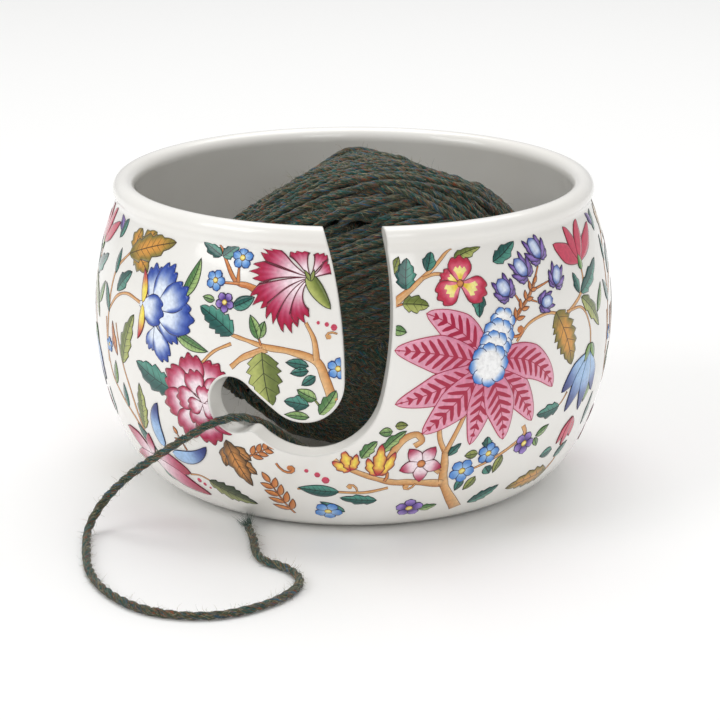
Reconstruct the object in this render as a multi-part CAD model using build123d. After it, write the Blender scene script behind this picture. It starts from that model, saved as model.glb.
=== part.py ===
from build123d import *
import math
import os

# Yarn bowl: a round glazed bowl with a J-shaped yarn slot, the ball of wool it holds, and the
# working end of that wool, led out through the slot and laid on the table.
# Millimetres, +Z up, origin at the middle of the foot on the table, slot towards -Y.

# bowl, outside
bowl_height = 95.5
belly_radius = 79.95
belly_height = 53.4
heel_height = 15.0      # where the belly's curve gives way to the tighter one down to the foot
foot_inset = 26.25      # how far the foot stands in from the belly
lip_inset = 9.4         # and the rolled lip's centre line
lip_radius = 3.25
neck_turn = -57.5       # degrees round the lip, where the wall runs into it
neck_round = 2.5        # glaze-softened hollow under the lip

# bowl, inside and underneath
belly_wall = 6.5
floor_thickness = 5.6
floor_round = 16.0
foot_ring = 6.5
foot_recess = 1.4
recess_round = 0.8

# yarn slot, drawn on an upright plane at the belly and narrowed towards a point on the axis
slot_aim_height = 45.0
slot_past_belly = 6.5   # how far the cut runs on outside the belly
slot_past_lip = 20.0    # and inside the lip's ring
tongue_x = -15.0        # the round tongue tip that the yarn is hooked under
tongue_height = 52.0
tongue_radius = 12.6
throat = 11.6           # gap between the tongue tip and the turn's lower edge
eye_x = -39.2           # the round eye that the yarn runs out through
eye_height = 42.5
eye_radius = 9.9
shoulder_slope = 37.7   # degrees, the straight edge from the tongue to the eye
turn_out = 12.0         # degrees before the right hand edge leaves the turn
mouth_left = -14.0      # the mouth's two edges, above the lip
mouth_right = 7.0
mouth_rise = 19.5
cusp_round = 2.5        # rounding of the two corners where the eye opens into the throat

foot_radius = belly_radius - foot_inset
lip_ring = belly_radius - lip_inset

# ball of wool, resting on the bowl's floor
ball_x = 5.0
ball_y = 2.0
ball_radius = 52.0
ball_half_height = 47.0
ball_side_arc = 40.0
core_radius = 30.0
core_half_height = 26.0
core_side_arc = 21.0
rest_gap = 0.3
turn_gap = 0.3

# working end of the wool
yarn_diameter = 2.6
yarn_bend_share = 0.45
yarn_route = [
    (21, -8, 8.4), (9, -26, 8.8), (-5, -43, 15), (-17, -56, 26), (-28, -64, 37), (-38.5, -71.3, 39.2),
    (-54, -69.5, 29), (-66, -61.5, 18.5), (-74.5, -57, 8.5), (-78.5, -62.5, 2), (-77.5, -77, 1.35),
    (-75.5, -95, 1.35), (-69, -113, 1.35), (-56, -128.5, 1.35), (-37, -132, 1.35), (-21, -120.5, 1.35),
    (-13.5, -105.5, 1.35), (-18, -93.5, 1.35), (-26, -88, 1.35), (-28.5, -79, 1.35), (-29, -69, 1.35),
    (-31, -59.5, 1.35),
]


def on_circle(centre, radius, degrees):
    angle = math.radians(degrees)
    return (centre[0] + radius * math.cos(angle), centre[1] + radius * math.sin(angle))


def between(centre, target, distance):
    """The point that lies distance from centre, on the line to target."""
    length = math.dist(centre, target)
    return tuple(a + (b - a) * distance / length for a, b in zip(centre, target))


def arc_into(start, centre, end):
    """Radius of an arc that leaves a circle about centre smoothly at start, and passes through end."""
    inward = between(start, centre, 1)
    lean = sum((i - s) * (e - s) for i, s, e in zip(inward, start, end))
    return math.dist(start, end) ** 2 / (2 * lean)


def circles_meet(a, a_radius, b, b_radius, side):
    """Where two circles cross: side picks one of the two points."""
    gap = math.dist(a, b)
    along = (gap**2 + a_radius**2 - b_radius**2) / (2 * gap)
    across = side * math.sqrt(a_radius**2 - along**2)
    ux, uz = (b[0] - a[0]) / gap, (b[1] - a[1]) / gap
    return (a[0] + along * ux - across * uz, a[1] + along * uz + across * ux)


def arc_through(centre, start, end, radius, towards):
    """An arc about centre from start to end that passes on the side of the point towards."""
    return ThreePointArc(start, between(centre, towards, radius), end)


def bowl_section():
    """Half of the bowl's section, as (radius, height)."""
    lip = (lip_ring, bowl_height - lip_radius)
    neck = on_circle(lip, lip_radius, neck_turn)
    swell = belly_radius - neck[0]
    belly_arc = (swell**2 + (neck[1] - belly_height) ** 2) / (2 * swell)
    belly = (belly_radius - belly_arc, belly_height)
    heel_end = (belly[0] + math.sqrt(belly_arc**2 - (belly_height - heel_height) ** 2), heel_height)
    heel_arc = arc_into(heel_end, belly, (foot_radius, 0))
    heel = between(heel_end, belly, heel_arc)

    # the inside is one arc that runs smoothly into the lip
    inner_radius = belly_radius - belly_wall
    reach = lip[0] - inner_radius
    rise = lip[1] - belly_height
    inner_arc = (reach**2 + rise**2 - lip_radius**2) / (2 * (lip_radius - reach))
    inner = (inner_radius - inner_arc, belly_height)
    inner_lip = between(inner, lip, inner_arc)
    floor = foot_recess + floor_thickness
    inner_floor = (inner[0] + math.sqrt(inner_arc**2 - (belly_height - floor) ** 2), floor)

    recess_radius = foot_radius - foot_ring
    with BuildSketch(Plane.XZ) as sketch:
        with BuildLine():
            Line((0, foot_recess), (recess_radius, foot_recess))
            Line((recess_radius, foot_recess), (recess_radius + foot_recess, 0))
            Line((recess_radius + foot_recess, 0), (foot_radius, 0))
            arc_through(heel, (foot_radius, 0), heel_end, heel_arc, (foot_radius + heel_arc, 0))
            arc_through(belly, heel_end, neck, belly_arc, (belly_radius, belly_height))
            arc_through(lip, neck, inner_lip, lip_radius, (lip[0], bowl_height))
            arc_through(inner, inner_lip, inner_floor, inner_arc, (inner_radius, belly_height))
            Line(inner_floor, (0, floor))
            Line((0, floor), (0, foot_recess))
        make_face()
    creases = {neck: neck_round, inner_floor: floor_round, (recess_radius, foot_recess): recess_round}
    return sketch.sketch, creases


def ring(body, place):
    """The circular edge about the axis at (radius, height)."""
    rings = body.edges().filter_by(GeomType.CIRCLE)
    return min(rings, key=lambda e: math.dist((e.radius, e.arc_center.Z), place))


def slot_outline():
    """The slot on its plane, as (x, height above the point that it narrows towards)."""
    tongue = (tongue_x, tongue_height - slot_aim_height)
    eye = (eye_x, eye_height - slot_aim_height)
    turn_radius = tongue_radius + throat
    top = bowl_height + mouth_rise - slot_aim_height

    turn_start = on_circle(tongue, turn_radius, -turn_out)
    leave = math.radians(90 - turn_out)
    turn_end = circles_meet(tongue, turn_radius, eye, eye_radius, 1)
    tip_side = on_circle(tongue, tongue_radius, 0)
    tip_end = on_circle(tongue, tongue_radius, 270 - shoulder_slope)
    slope = math.radians(180 - shoulder_slope)
    along = (eye[0] - tip_end[0]) * math.cos(slope) + (eye[1] - tip_end[1]) * math.sin(slope)
    aside = math.dist(tip_end, eye) ** 2 - along**2
    reach = along - math.sqrt(eye_radius**2 - aside)
    shoulder = (tip_end[0] + reach * math.cos(slope), tip_end[1] + reach * math.sin(slope))

    with BuildSketch() as sketch:
        with BuildLine():
            Line((mouth_left, top), (mouth_right, top))
            TangentArc(turn_start, (mouth_right, top), tangent=(math.cos(leave), math.sin(leave)))
            arc_through(tongue, turn_start, turn_end, turn_radius, (tongue[0], tongue[1] - turn_radius))
            arc_through(eye, turn_end, shoulder, eye_radius, (eye[0] - eye_radius, eye[1]))
            Line(shoulder, tip_end)
            arc_through(tongue, tip_end, tip_side, tongue_radius, (tongue[0], tongue[1] - tongue_radius))
            TangentArc(tip_side, (mouth_left, top), tangent=(0, 1))
        make_face()
    return sketch.sketch, (turn_end, shoulder)


def slot_cutter():
    """The slot as a solid that narrows inwards, and the lines of its two sharp corners."""
    outline, corners = slot_outline()
    outline = Plane.XZ * outline
    far = (belly_radius + slot_past_belly) / belly_radius
    near = (lip_ring - slot_past_lip) / belly_radius
    ends = [Pos(0, -belly_radius * share, 0) * scale(outline, by=share) for share in (far, near)]
    cutter = Pos(0, 0, slot_aim_height) * loft(ends, ruled=True)
    aim = Vector(0, 0, slot_aim_height)
    lines = [Line(aim, Vector(x, -belly_radius, z) * far + aim) for x, z in corners]
    return cutter, lines


def bowl():
    section, creases = bowl_section()
    body = revolve(section, Axis.Z)
    for place, size in creases.items():
        body = fillet(ring(body, place), radius=size)
    cutter, corner_lines = slot_cutter()
    body -= cutter
    for line in corner_lines:
        corner = min(body.edges(), key=lambda e: line.distance_to(e @ 0) + line.distance_to(e @ 1))
        body = fillet(corner, radius=cusp_round)
    return body


def oval(radius, half_height, side_arc):
    """A flattened ball of revolution: a tight arc round the side, a wider one over each pole."""
    crown_arc = ((radius - side_arc) ** 2 + half_height**2 - side_arc**2) / (2 * (half_height - side_arc))
    side = (radius - side_arc, 0)
    top = between((0, half_height - crown_arc), side, crown_arc)
    bottom = (top[0], -top[1])
    with BuildSketch(Plane.XZ) as sketch:
        with BuildLine():
            Line((0, -half_height), (0, half_height))
            TangentArc((0, half_height), top, tangent=(1, 0))
            ThreePointArc(top, (radius, 0), bottom)
            TangentArc((0, -half_height), bottom, tangent=(1, 0))
        make_face()
    return revolve(sketch.sketch, Axis.Z)


def ball_centre():
    return Pos(ball_x, ball_y, foot_recess + floor_thickness + rest_gap + ball_half_height)


def yarn_ball_core():
    return ball_centre() * oval(core_radius, core_half_height, core_side_arc)


def yarn_ball_wraps():
    shell = oval(ball_radius, ball_half_height, ball_side_arc)
    hollow = oval(core_radius + turn_gap, core_half_height + turn_gap, core_side_arc + turn_gap)
    return ball_centre() * (shell - hollow)


def working_yarn():
    points = [Vector(*p) for p in yarn_route]
    radii = []
    for before, here, after in zip(points, points[1:], points[2:]):
        run = min((here - before).length, (after - here).length)
        half_turn = math.radians((here - before).get_angle(after - here)) / 2
        radii.append(yarn_bend_share * run / math.tan(half_turn))
    print("yarn bend radii", [round(r, 1) for r in radii])
    path = FilletPolyline(*points, radius=radii)
    start = Plane(origin=path @ 0, z_dir=path % 0)
    tube = sweep(start * Circle(yarn_diameter / 2), path=path)
    section = math.pi * yarn_diameter**2 / 4
    print("yarn length %.1f, volume %.1f of %.1f" % (path.length, tube.volume, section * path.length))
    return tube


os.makedirs("parts", exist_ok=True)
pieces = {
    "bowl": bowl(),
    "yarn_ball_core": yarn_ball_core(),
    "yarn_ball_wraps": yarn_ball_wraps(),
    "working_yarn": working_yarn(),
}
for name, shape in pieces.items():
    export_step(shape, "parts/" + name + ".step")
    print(name, "volume %.0f" % shape.volume)
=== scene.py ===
import bpy
import bmesh
import math
import random
from mathutils import Matrix, Vector, kdtree, noise


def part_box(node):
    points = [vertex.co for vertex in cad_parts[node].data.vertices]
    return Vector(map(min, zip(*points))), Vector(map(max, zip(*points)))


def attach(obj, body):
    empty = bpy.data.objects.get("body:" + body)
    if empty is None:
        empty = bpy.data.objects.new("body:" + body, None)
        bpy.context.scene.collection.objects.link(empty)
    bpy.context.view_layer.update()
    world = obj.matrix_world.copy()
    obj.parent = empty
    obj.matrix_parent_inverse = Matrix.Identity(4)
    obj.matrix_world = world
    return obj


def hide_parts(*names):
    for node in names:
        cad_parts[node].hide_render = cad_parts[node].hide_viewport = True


# Yarn bowl: a glazed bowl printed with flowers, a hand wound ball of heathered wool, and the working
# end of the wool led out through the slot. Sizes are in millimetres and turned to metres by mm.
mm = 0.001

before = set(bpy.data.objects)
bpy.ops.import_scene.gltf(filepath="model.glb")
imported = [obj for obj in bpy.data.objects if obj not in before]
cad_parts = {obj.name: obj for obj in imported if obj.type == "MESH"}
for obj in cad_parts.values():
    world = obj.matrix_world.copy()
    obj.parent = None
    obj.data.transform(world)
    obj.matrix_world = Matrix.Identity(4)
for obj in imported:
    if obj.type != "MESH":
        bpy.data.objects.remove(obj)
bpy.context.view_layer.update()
print("frame loaded")


def linear(hexColour):
    values = [int(hexColour[i:i + 2], 16) / 255 for i in (1, 3, 5)]
    return [v / 12.92 if v <= 0.04045 else ((v + 0.055) / 1.055) ** 2.4 for v in values] + [1.0]


def addNode(material, kind, inputs=None, **settings):
    node = material.node_tree.nodes.new("ShaderNode" + kind)
    for key, value in settings.items():
        setattr(node, key, value)
    for key, value in (inputs or {}).items():
        if isinstance(value, bpy.types.NodeSocket):
            material.node_tree.links.new(value, node.inputs[key])
        else:
            node.inputs[key].default_value = value
    return node


def newMaterial(name):
    material = bpy.data.materials.new(name)
    material.use_nodes = True
    return material, material.node_tree.nodes["Principled BSDF"]


def join(material, source, target):
    material.node_tree.links.new(source, target)


def setRamp(ramp, stops, interpolation="LINEAR"):
    ramp.interpolation = interpolation
    while len(ramp.elements) < len(stops):
        ramp.elements.new(1.0)
    for element, (place, colour) in zip(ramp.elements, stops):
        element.position = place
        element.color = linear(colour)


def addPiece(name, mesh, body, material):
    piece = bpy.data.objects.new(name, mesh)
    bpy.context.scene.collection.objects.link(piece)
    mesh.materials.clear()
    mesh.materials.append(material)
    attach(piece, body)
    return piece


def meshOfCurve(curve, name):
    holder = bpy.data.objects.new(name, curve)
    bpy.context.scene.collection.objects.link(holder)
    bpy.context.view_layer.update()
    shown = holder.evaluated_get(bpy.context.evaluated_depsgraph_get())
    mesh = bpy.data.meshes.new_from_object(shown)
    mesh.name = name
    bpy.data.objects.remove(holder)
    return mesh


yarn = {
    "diameter": 2.6,
    "plies": 3,
    "plyOffset": 0.20,      # as shares of the diameter
    "plyRadius": 0.29,
    "aroundPly": 4,
    "plyPitch": 12.5,       # length in which the plies turn round once
    "unevenness": 0.13,     # how much the thickness wanders, as a share
    "unevenEvery": 9,       # over about this length
    "colourRun": 4000,      # each run starts somewhere in this length of heather
}


def closeEnds(mesh):
    tubes = bmesh.new()
    tubes.from_mesh(mesh)
    bmesh.ops.holes_fill(tubes, edges=[e for e in tubes.edges if e.is_boundary])
    bmesh.ops.recalc_face_normals(tubes, faces=tubes.faces)
    tubes.to_mesh(mesh)
    tubes.free()
    mesh.shade_smooth()


def plyProfile():
    # the yarn's section: one round for each ply, joined where they touch
    curve = bpy.data.curves.new("plyProfile", "CURVE")
    curve.dimensions = "2D"
    spline = curve.splines.new("POLY")
    count = yarn["plies"] * yarn["aroundPly"]
    spline.points.add(count - 1)
    spline.use_cyclic_u = True
    sector = 2 * math.pi / yarn["plies"]
    offset, radius = yarn["plyOffset"], yarn["plyRadius"]
    for i, point in enumerate(spline.points):
        angle = 2 * math.pi * i / count
        aside = angle % sector - sector / 2
        reach = offset * math.cos(aside) + math.sqrt(max(radius**2 - (offset * math.sin(aside)) ** 2, 0))
        size = reach * yarn["diameter"] * mm
        point.co = (size * math.cos(angle), size * math.sin(angle), 0, 1)
    return bpy.data.objects.new("plyProfile", curve)


def spunMesh(name, runs, profile, seed):
    # plied yarn along each run, a list of points: one closed tube a run
    draw = random.Random(seed)
    curve = bpy.data.curves.new(name, "CURVE")
    curve.dimensions = "3D"
    curve.bevel_mode = "OBJECT"
    curve.bevel_object = profile
    curve.twist_mode = "MINIMUM"
    grain = []
    around = len(profile.data.splines[0].points)
    for run in runs:
        spline = curve.splines.new("POLY")
        spline.points.add(len(run) - 1)
        start = draw.uniform(0, yarn["colourRun"])
        travelled = 0
        for i, place in enumerate(run):
            if i:
                travelled += (place - run[i - 1]).length / mm
            swell = noise.noise(Vector((0, start, travelled / yarn["unevenEvery"]))) * yarn["unevenness"]
            spline.points[i].co = (*place, 1)
            spline.points[i].tilt = 2 * math.pi * travelled / yarn["plyPitch"]
            spline.points[i].radius = 1 + swell
            for k in range(around):
                angle = 2 * math.pi * k / around
                grain.append((math.cos(angle), math.sin(angle), start + travelled))
    mesh = meshOfCurve(curve, name)
    place = mesh.attributes.new("woolGrain", "FLOAT_VECTOR", "POINT")
    place.data.foreach_set("vector", [c for g in grain for c in g])
    closeEnds(mesh)
    return mesh


def woolMaterial():
    # heathered wool: dyed fibres of several colours spun together, so thin streaks follow each ply
    material, shader = newMaterial("heathered_wool")
    place = addNode(material, "Attribute", attribute_name="woolGrain")
    streak = addNode(material, "Mapping", {"Vector": place.outputs["Vector"], "Scale": (0.9, 0.9, 0.085)})
    strand = addNode(material, "TexNoise", {"Vector": streak.outputs["Vector"], "Scale": 2.2, "Detail": 2.0})
    colours = addNode(material, "ValToRGB", {"Fac": strand.outputs["Fac"]})
    setRamp(colours.color_ramp, [
        (0.31, "#081416"), (0.37, "#25706c"), (0.42, "#0c1815"), (0.47, "#3f4e34"),
        (0.51, "#11403b"), (0.56, "#806f4e"), (0.60, "#141b18"), (0.67, "#2a5e78"),
    ])
    fleck = addNode(material, "Mapping", {"Vector": place.outputs["Vector"], "Scale": (1.1, 1.1, 0.16)})
    flecks = addNode(material, "TexNoise", {"Vector": fleck.outputs["Vector"], "Scale": 3.4, "Detail": 1.0})
    rust = addNode(material, "MapRange", {
        "Value": flecks.outputs["Fac"], "From Min": 0.62, "From Max": 0.68})
    withRust = addNode(material, "Mix", {
        "Factor": rust.outputs["Result"], "A": colours.outputs["Color"], "B": linear("#8a4426")},
        data_type="RGBA")
    pale = addNode(material, "MapRange", {
        "Value": flecks.outputs["Fac"], "From Min": 0.36, "From Max": 0.30})
    withPale = addNode(material, "Mix", {
        "Factor": pale.outputs["Result"], "A": withRust.outputs[2], "B": linear("#9a8f6c")},
        data_type="RGBA")
    join(material, withPale.outputs[2], shader.inputs["Base Color"])
    fibre = addNode(material, "Mapping", {"Vector": place.outputs["Vector"], "Scale": (5, 5, 0.9)})
    fibres = addNode(material, "TexNoise", {"Vector": fibre.outputs["Vector"], "Scale": 3.0, "Detail": 3.0})
    bump = addNode(material, "Bump", {
        "Height": fibres.outputs["Fac"], "Strength": 0.9, "Distance": 0.25 * mm})
    join(material, bump.outputs["Normal"], shader.inputs["Normal"])
    shader.inputs["Roughness"].default_value = 0.92
    shader.inputs["Sheen Weight"].default_value = 0.2
    shader.inputs["Sheen Roughness"].default_value = 0.4
    return material


def fibreMaterial():
    # single wool fibres that stand off the yarn: paler than the yarn, since light passes through them
    material, shader = newMaterial("wool_fibre")
    place = addNode(material, "TexCoord")
    patch = addNode(material, "TexNoise", {"Vector": place.outputs["Object"], "Scale": 300.0})
    colours = addNode(material, "ValToRGB", {"Fac": patch.outputs["Fac"]})
    setRamp(colours.color_ramp, [(0.3, "#4c716d"), (0.45, "#8a8468"), (0.6, "#b0a88a"), (0.72, "#966548")])
    join(material, colours.outputs["Color"], shader.inputs["Base Color"])
    shader.inputs["Roughness"].default_value = 0.8
    shader.inputs["Sheen Weight"].default_value = 0.3
    return material


fuzz = {
    "radius": 0.05,
    "lowest": 0.15,         # fibres lie on the table, not in it
    "shortest": 0.2,        # as a share of the longest
    "shortMore": 1.6,       # short ones are more common
    "root": 0.15,           # each one starts this far inside the yarn
    "curl": 0.8,
    "joints": 3,
    "taper": 0.25,
}


def fuzzMesh(name, roots, longest, seed, spread=1):
    # curled fibres: each root is a place, the direction it stands out in and the yarn's own direction
    draw = random.Random(seed)
    curve = bpy.data.curves.new(name, "CURVE")
    curve.dimensions = "3D"
    curve.bevel_depth = fuzz["radius"] * mm
    curve.bevel_resolution = 0
    for place, out, along in roots:
        length = longest * draw.uniform(fuzz["shortest"], 1) ** fuzz["shortMore"] * mm
        side = out.cross(along).normalized()
        heading = out * draw.uniform(0.2, 0.8) + along * spread * draw.uniform(-1.3, 1.3)
        heading = (heading + side * spread * draw.uniform(-0.8, 0.8)).normalized()
        curl = Vector([draw.uniform(-1, 1) for axis in range(3)]) * fuzz["curl"] * spread
        spline = curve.splines.new("POLY")
        spline.points.add(fuzz["joints"])
        here = place - out * fuzz["root"] * mm
        for i, point in enumerate(spline.points):
            here.z = max(here.z, fuzz["lowest"] * mm)
            point.co = (*here, 1)
            point.radius = 1 - fuzz["taper"] * i
            here = here + heading * length / fuzz["joints"]
            heading = (heading + curl).normalized()
    mesh = meshOfCurve(curve, name)
    closeEnds(mesh)
    return mesh


workingYarn = {
    "body": "bowl",
    "length": 328.0,
    "step": 0.5,
    "fibreEvery": 0.2,      # length of yarn to each fibre that stands off it
    "longestFibre": 3.4,
    "fibreLowest": 0.6,     # no fibre starts nearer to the table
    "endFibres": 260,       # the cut end, where the plies come apart
    "longestEnd": 13.0,
    "endSpread": 0.1,
    # the same points as the yarn's tube in the CAD model
    "route": [
        (21, -8, 8.4), (9, -26, 8.8), (-5, -43, 15), (-17, -56, 26), (-28, -64, 37), (-38.5, -71.3, 39.2),
        (-54, -69.5, 29), (-66, -61.5, 18.5), (-74.5, -57, 8.5), (-78.5, -62.5, 2), (-77.5, -77, 1.35),
        (-75.5, -95, 1.35), (-69, -113, 1.35), (-56, -128.5, 1.35), (-37, -132, 1.35), (-21, -120.5, 1.35),
        (-13.5, -105.5, 1.35), (-18, -93.5, 1.35), (-26, -88, 1.35), (-28.5, -79, 1.35), (-29, -69, 1.35),
        (-31, -59.5, 1.35),
    ],
}


def evenly(points, step):
    # the same line, with a point at every step of its length
    spaced = [points[0]]
    left = step
    for a, b in zip(points, points[1:]):
        run = (b - a).length
        while run > left:
            a = a + (b - a).normalized() * left
            run = (b - a).length
            spaced.append(a.copy())
            left = step
        left -= run
    spaced.append(points[-1])
    return spaced


def routeLine(plan):
    curve = bpy.data.curves.new("yarnRoute", "CURVE")
    curve.dimensions = "3D"
    curve.resolution_u = 32
    spline = curve.splines.new("NURBS")
    spline.points.add(len(plan["route"]) - 1)
    for point, place in zip(spline.points, plan["route"]):
        point.co = (*(Vector(place) * mm), 1)
    spline.order_u = 3
    spline.use_endpoint_u = True
    line = meshOfCurve(curve, "yarnRoute")
    points = [v.co.copy() for v in line.vertices]
    bpy.data.meshes.remove(line)
    return evenly(points, plan["step"] * mm)


def fuzzRoots(plan, points, seed):
    draw = random.Random(seed)
    roots = []
    travelled = 0
    for a, b in zip(points, points[1:]):
        travelled += (b - a).length / mm
        while travelled > plan["fibreEvery"]:
            travelled -= plan["fibreEvery"]
            along = (b - a).normalized()
            out = along.orthogonal().normalized()
            out.rotate(Matrix.Rotation(draw.uniform(0, 2 * math.pi), 3, along))
            place = a.lerp(b, draw.random()) + out * (yarn["diameter"] * 0.45) * mm
            if place.z > plan["fibreLowest"] / 2 * mm:
                roots.append((place, out, along * draw.choice((-1, 1))))
    return [root for root in roots if root[0].z > plan["fibreLowest"] * mm]


def makeWorkingYarn(plan, profile, wool, fibre):
    line = routeLine(plan)
    piece = addPiece("workingYarn", spunMesh("workingYarn", [line], profile, 11), plan["body"], wool)
    hairs = fuzzRoots(plan, line, 12)
    mesh = fuzzMesh("workingYarnFuzz", hairs, plan["longestFibre"], 13)
    fluff = addPiece("workingYarnFuzz", mesh, plan["body"], fibre)
    ending = (line[-1] - line[-6]).normalized()
    across = ending.orthogonal().normalized()
    loose = [(line[-1 - i % 5] + across * 0.1 * mm * (i % 7), ending, across)
             for i in range(plan["endFibres"])]
    mesh = fuzzMesh("workingYarnEnd", loose, plan["longestEnd"], 14, plan["endSpread"])
    frayed = addPiece("workingYarnEnd", mesh, plan["body"], wool)
    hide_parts("working_yarn")


ballPlan = {
    "body": "wraps",
    "step": 1.0,
    "spacing": 0.96,        # between strands side by side, as a share of the diameter
    "near": 0.92,           # a strand rests on others nearer than this share of the diameter
    "bed": 0.80,            # how high a strand rides on one that it crosses
    "tilt": 0.014,          # how far a strand strays from its bundle
    "hiddenBundles": 22,
    "hiddenStrands": 11,
    "hiddenTurn": 2.39996,  # radians between one hidden bundle's axis and the next
    "hiddenAside": 22,
    "covers": 0.6,          # a strand this share of the diameter higher covers what is under it
    "coverReach": 0.45,
    "edge": 0.42,           # the sides of a strand, as a share of the diameter
    "shortestRun": 6,
    "full": 0.78,           # share of the strands that show that lie under the ball's surface
    "bedDrop": 7.4,         # the plain surface under the strands lies this deep
    "lowest": 1.7,          # middle of the lowest strands, above the ball's underside
    "sunk": 7.5,            # no strand lies deeper than this below the ball's surface
    "proud": 0.5,           # share kept of what would stand above the surface
    "trianglesEach": 170000,
    # wraps laid last: degrees round to the right and up to the middle of the bundle, its heading there
    # in degrees up from level, and how many strands lie side by side
    "lastBundles": [
        (-75, 30, 62, 12), (70, 30, -58, 12), (170, 20, 20, 12), (-120, 25, -50, 12), (120, 10, 75, 10),
        (-35, 52, 48, 9), (40, 48, -38, 10), (-8, 14, 27, 13), (178, 72, 4, 9), (8, 40, 14, 9),
        (30, 56, -44, 6), (-20, 60, 24, 6),
    ],
    "fibres": 12000,
    "fibrePieces": 2,
    "longestFibre": 6.0,
}


def ballFrame():
    low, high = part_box("yarn_ball_wraps")
    return (low + high) / 2, (high.x - low.x) / 2, (high.z - low.z) / 2


def onBall(degreesRight, degreesUp):
    right, up = math.radians(degreesRight), math.radians(degreesUp)
    return Vector((math.sin(right) * math.cos(up), -math.cos(right) * math.cos(up), math.sin(up)))


def wrapBundles(plan, draw):
    # each bundle of wraps as the axis it goes round, its distance aside and its count of strands
    bundles = []
    for i in range(plan["hiddenBundles"]):
        level = 1 - 2 * (i + 0.5) / plan["hiddenBundles"]
        turn = i * plan["hiddenTurn"]
        flat = math.sqrt(1 - level**2)
        axis = Vector((flat * math.cos(turn), flat * math.sin(turn), level))
        aside = draw.uniform(-plan["hiddenAside"], plan["hiddenAside"])
        bundles.append((axis, aside, plan["hiddenStrands"]))
    for right, up, heading, strands in plan["lastBundles"]:
        out = onBall(right, up)
        level = Vector((0, 0, 1)).cross(out).normalized()
        rise = out.cross(level)
        along = level * math.cos(math.radians(heading)) + rise * math.sin(math.radians(heading))
        bundles.append((out.cross(along), 0, strands))
    return bundles


def treeOf(spots):
    tree = kdtree.KDTree(len(spots))
    for i, spot in enumerate(spots):
        tree.insert(spot, i)
    tree.balance()
    return tree


def windStrand(plan, draw, tree, heights, radius, axis, aside, wobble):
    # one turn round the ball: where it goes, and how high it lies on the strands under it
    near = yarn["diameter"] * plan["near"]
    tilt = draw.gauss(0, plan["tilt"])
    swing = draw.uniform(0, 6.28)
    side = axis.orthogonal().normalized()
    other = axis.cross(side)
    steps = int(2 * math.pi * math.sqrt(max(radius**2 - aside**2, 100)) / plan["step"])
    line, rests = [], []
    for i in range(steps):
        angle = 2 * math.pi * i / steps
        flow = Vector((math.cos(angle) * 1.4, math.sin(angle) * 1.4, wobble))
        drift = aside + 1.7 * noise.noise(flow) + tilt * radius * math.sin(angle + swing)
        drift += 0.35 * noise.noise(flow * 3.1)
        share = max(min(drift / radius, 0.98), -0.98)
        flat = math.sqrt(1 - share**2)
        spot = (axis * share + (side * math.cos(angle) + other * math.sin(angle)) * flat) * radius
        line.append(spot)
        rest = 0
        for place, index, gap in tree.find_range(spot, near):
            rest = max(rest, heights[index] + math.sqrt(near**2 - gap**2) * plan["bed"] / plan["near"])
        rests.append(rest)
    # taut wool spans the hollows, and bends softly
    for reach in (1, 2, 4, 7):
        drop = (reach * plan["step"]) ** 2 / (2 * radius)
        rests = [max(rests[i], (rests[i - reach] + rests[(i + reach) % steps]) / 2 - drop)
                 for i in range(steps)]
    rests = [(rests[i - 1] + 2 * rests[i] + rests[(i + 1) % steps]) / 4 for i in range(steps)]
    return line, rests


def windBall(plan, radius):
    # lays the bundles one on another, as a ball is wound
    draw = random.Random(5)
    spots, heights, strands = [], [], []
    for axis, shift, count in wrapBundles(plan, draw):
        tree = treeOf(spots)
        wobble = draw.uniform(0, 1000)
        for k in range(count):
            aside = shift + (k - (count - 1) / 2) * yarn["diameter"] * plan["spacing"]
            strands.append(windStrand(plan, draw, tree, heights, radius, axis, aside, wobble + k * 0.16))
        for line, rests in strands[-count:]:
            spots.extend(line)
            heights.extend(rests)
    print("ball wound,", len(strands), "turns,", len(spots), "points")
    return strands, treeOf(spots), heights


def shownStretches(shows):
    # first step and end of each stretch of a turn that shows, going round it once
    steps = len(shows)
    if all(shows):
        return [(0, steps)]
    first = shows.index(False)
    stretches = []
    start = None
    for i in range(first, first + steps + 1):
        seen = shows[i % steps] and i < first + steps
        if seen and start is None:
            start = i
        if not seen and start is not None:
            stretches.append((start, i))
            start = None
    return stretches


def layBall(plan):
    # keeps the lengths that show, and gives them the ball's shape
    middle, radius, halfHeight = ballFrame()
    radius, halfHeight = radius / mm, halfHeight / mm
    size = yarn["diameter"]
    strands, tree, heights = windBall(plan, radius)

    def covered(spot, rest):
        return any(heights[index] > rest + size * plan["covers"]
                   for place, index, gap in tree.find_range(spot, size * plan["coverReach"]))

    shown = [rests[i] for line, rests in strands for i in range(0, len(line), 5)
             if not covered(line[i], rests[i])]
    top = sorted(shown)[int(len(shown) * plan["full"])] + size * 0.4
    floor = middle.z - (halfHeight - plan["lowest"]) * mm

    def placed(spot, height):
        out = spot.normalized()
        shape = 1 / math.sqrt((out.x**2 + out.y**2) / radius**2 + out.z**2 / halfHeight**2)
        rise = (height - top) * plan["proud"]
        if height < top:
            rise = plan["sunk"] * (math.exp((height - top) / plan["sunk"]) - 1)
        place = middle + out * (shape + rise) * mm
        place.z = max(place.z, floor)
        return place

    runs = []
    for line, rests in strands:
        steps = len(line)
        shows = []
        for i, spot in enumerate(line):
            across = (line[(i + 1) % steps] - line[i - 1]).cross(spot).normalized() * size * plan["edge"]
            shows.append(not all(covered(probe, rests[i]) for probe in (spot, spot + across, spot - across)))
        wide = [any(shows[(i + j) % steps] for j in range(-3, 4)) for i in range(steps)]
        for start, end in shownStretches(wide):
            if end - start >= plan["shortestRun"]:
                run = [placed(line[i % steps], rests[i % steps]) for i in range(start, end)]
                if end - start == steps:
                    run.append(run[0])
                runs.append(run)
    print("ball: %d runs, %.1f m shown" % (len(runs), sum(len(r) for r in runs) * plan["step"] / 1000))
    return runs


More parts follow.
